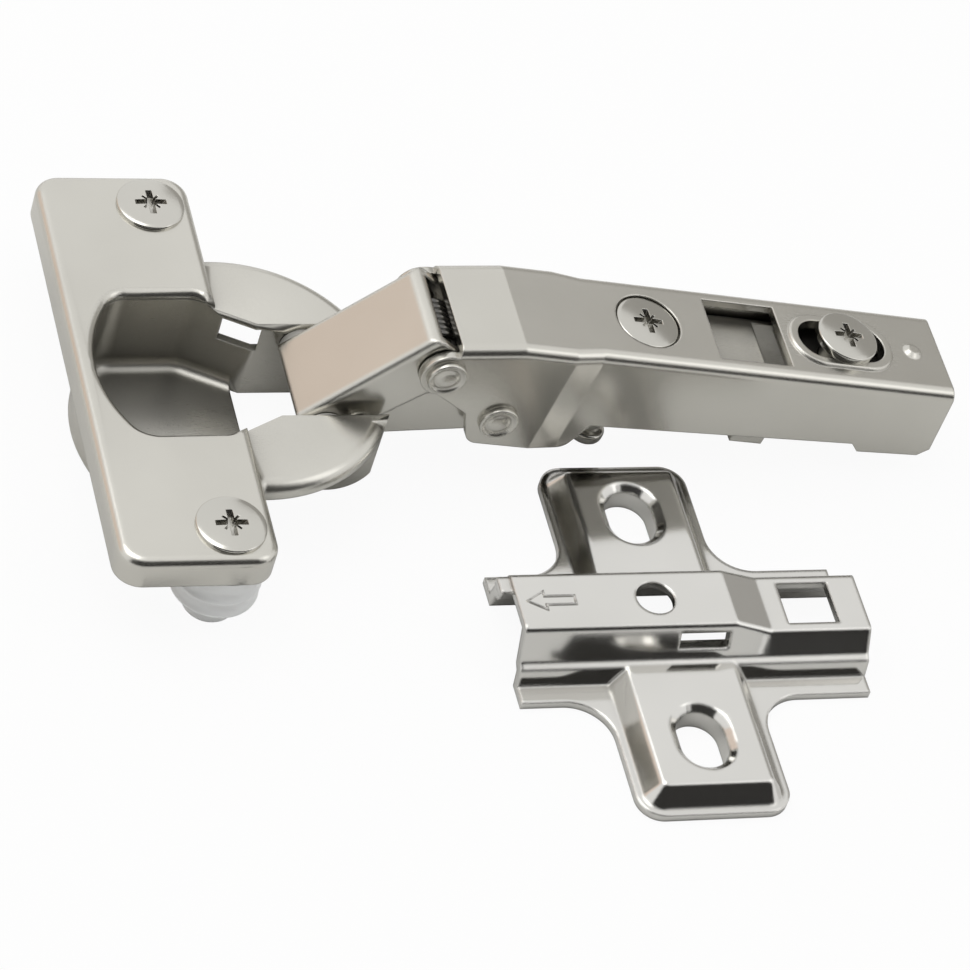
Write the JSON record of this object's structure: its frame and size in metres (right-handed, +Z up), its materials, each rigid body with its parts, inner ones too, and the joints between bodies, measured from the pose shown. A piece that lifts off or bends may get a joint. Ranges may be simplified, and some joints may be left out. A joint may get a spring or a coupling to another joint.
{
  "type": "concealed cup hinge",
  "caption": "Concealed cabinet hinge with a round cup, linked arm with adjusting screws and clip-on latch, and its winged mounting plate.",
  "frame": {"origin": "centre of the cup's flat bottom, on the cup's axis", "axes": "+Z up out of the door face along the cup's axis, +X from the cup towards the arm, Y along the pivot pins"},
  "size_m": [0.1055, 0.085, 0.0221],
  "materials": {
    "nickel": "satin nickel plate on stamped steel",
    "plate_nickel": "bright nickel plate on pressed steel",
    "spring_wire": "plain spring wire",
    "white_nylon": "natural nylon"
  },
  "bodies": {
    "cup_set": {"cup": "nickel", "flange_screw_front": "nickel", "flange_screw_rear": "nickel", "dowel_front": "white_nylon", "dowel_rear": "white_nylon", "outer_link_pin": "nickel", "inner_link_pin": "nickel", "link_washer_front": "white_nylon", "link_washer_rear": "white_nylon", "mounting_plate": "plate_nickel"},
    "outer_link": {"outer_link": "nickel"},
    "arm": {"arm": "nickel", "arm_front_pin": "nickel", "arm_rear_pin": "nickel", "closing_spring": "spring_wire"},
    "inner_link": {"inner_link": "nickel"},
    "adapter": {"adapter": "nickel", "latch_pin": "nickel", "latch_spring": "spring_wire"},
    "side_screw": {"side_screw": "nickel"},
    "depth_screw": {"depth_screw": "nickel"},
    "latch_lever": {"latch_lever": "nickel"}
  },
  "joints": [
    {"name": "arm_fold", "type": "hinge", "parent": "cup_set", "child": "outer_link", "pos_m": [0.0092, 0, 0.0084], "axis": [0, -1, 0], "range_deg": [-8.87, 138.94]},
    {"name": "arm_turn", "type": "hinge", "parent": "outer_link", "child": "arm", "pos_m": [0.02123, 0, 0.01795], "axis": [0, -1, 0], "range_deg": [-40.3, 2.6]},
    {"name": "inner_link_turn", "type": "hinge", "parent": "cup_set", "child": "inner_link", "pos_m": [0.0133, 0, 0.0084], "axis": [0, -1, 0], "range_deg": [-9.05, 141.1]},
    {"name": "depth_slide", "type": "slide", "parent": "arm", "child": "adapter", "axis": [0.9885, 0, -0.1513], "range_m": [-0.002, 0.002]},
    {"name": "side_screw_turn", "type": "hinge", "parent": "arm", "child": "side_screw", "pos_m": [0.04673, 0, 0.0193], "axis": [0.1513, 0, 0.9885], "range_deg": [-360, 360]},
    {"name": "depth_screw_turn", "type": "hinge", "parent": "adapter", "child": "depth_screw", "pos_m": [0.07218, 0, 0.01541], "axis": [0.1513, 0, 0.9885], "range_deg": [-360, 360]},
    {"name": "latch_press", "type": "hinge", "parent": "adapter", "child": "latch_lever", "pos_m": [0.07727, 0, 0.00735], "axis": [0, -1, 0], "range_deg": [0, 9], "stiffness_Nm_per_rad": 0.05, "springref_deg": -5.73}
  ],
  "couplings": [
    {"joint": "arm_turn", "follows": "arm_fold", "ratio": -0.28963},
    {"joint": "inner_link_turn", "follows": "arm_fold", "ratio": 1.015}
  ]
}
